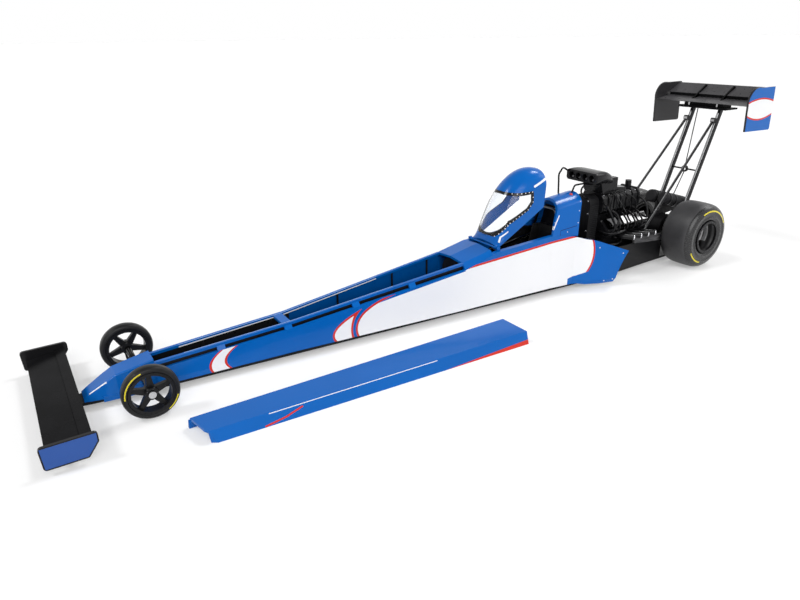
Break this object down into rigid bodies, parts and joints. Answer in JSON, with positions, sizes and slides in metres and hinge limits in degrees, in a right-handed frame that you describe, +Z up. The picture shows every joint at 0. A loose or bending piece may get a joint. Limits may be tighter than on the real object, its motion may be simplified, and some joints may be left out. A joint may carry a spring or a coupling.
{
  "type": "display model of a drag racing car",
  "caption": "Long low drag racing car model with open engine, tall rear wing, front wing, hinged canopy and a loose body panel.",
  "frame": {"origin": "midway between the axles on the centre plane, between the two base screws, on the belly pan's underside", "axes": "+X towards the nose, +Y to the car's left side, +Z up"},
  "size_m": [0.403, 0.0948, 0.1022],
  "materials": {
    "body_blue": "gloss",
    "black_metal": "gloss",
    "satin_black": "satin",
    "bright_steel": "polished",
    "grey_metal": "satin",
    "tyre_rubber": "matte",
    "clear_glass": "polished"
  },
  "bodies": {
    "chassis": {"belly_pan": "satin_black", "nose": "body_blue", "rail_cross": "body_blue", "front_axle": "bright_steel", "front_wing": "black_metal", "front_flap": "black_metal", "front_pylons": "black_metal", "cowl": "body_blue", "shroud": "body_blue", "firewall": "satin_black", "seat": "satin_black", "steering": "grey_metal", "roll_cage": "black_metal", "fuel_lines": "black_metal", "canopy_hinge": "bright_steel", "engine_block": "black_metal", "supercharger": "black_metal", "injector_hat": "black_metal", "belt_drive": "satin_black", "rear_housing": "black_metal", "strut_brace": "black_metal", "rear_wing": "black_metal", "rear_flap": "black_metal", "wing_mount": "black_metal", "wing_ribs": "black_metal", "side_panel_left": "body_blue", "side_panel_right": "body_blue", "upper_rail_left": "body_blue", "upper_rail_right": "body_blue", "front_end_plate_left": "body_blue", "front_end_plate_right": "body_blue", "valve_cover_left": "bright_steel", "valve_cover_right": "bright_steel", "header_left": "grey_metal", "header_right": "grey_metal", "frame_tube_left": "black_metal", "frame_tube_right": "black_metal", "rear_skirt_left": "satin_black", "rear_skirt_right": "satin_black", "strut_left": "black_metal", "strut_right": "black_metal", "stay_left": "bright_steel", "stay_right": "bright_steel", "rear_end_plate_left": "body_blue", "rear_end_plate_right": "body_blue"},
    "front_wheel_left_body": {"front_wheel_left": "satin_black", "front_tyre_left": "tyre_rubber"},
    "front_wheel_right_body": {"front_wheel_right": "satin_black", "front_tyre_right": "tyre_rubber"},
    "rear_axle_body": {"rear_axle": "bright_steel", "rear_wheel_left": "satin_black", "rear_wheel_right": "satin_black", "rear_tyre_left": "tyre_rubber", "rear_tyre_right": "tyre_rubber"},
    "canopy": {"canopy_shell": "body_blue", "windshield": "clear_glass"},
    "panel": {"body_panel": "body_blue"}
  },
  "joints": [
    {"name": "front_left_spin", "type": "hinge", "parent": "chassis", "child": "front_wheel_left_body", "pos_m": [0.15875, 0.0223, 0.0082], "axis": [0, 1, 0], "continuous": true},
    {"name": "front_right_spin", "type": "hinge", "parent": "chassis", "child": "front_wheel_right_body", "pos_m": [0.15875, -0.0223, 0.0082], "axis": [0, 1, 0], "continuous": true},
    {"name": "rear_axle_spin", "type": "hinge", "parent": "chassis", "child": "rear_axle_body", "pos_m": [-0.15875, 0, 0.0169], "axis": [0, 1, 0], "continuous": true},
    {"name": "canopy_hinge", "type": "hinge", "parent": "chassis", "child": "canopy", "pos_m": [-0.01625, 0, 0.0294], "axis": [0, 1, 0], "range_deg": [-25.7, 0]},
    {"name": "panel_lift", "type": "slide", "parent": "chassis", "child": "panel", "axis": [0, 0, 1], "range_m": [0, 0.06]}
  ]
}
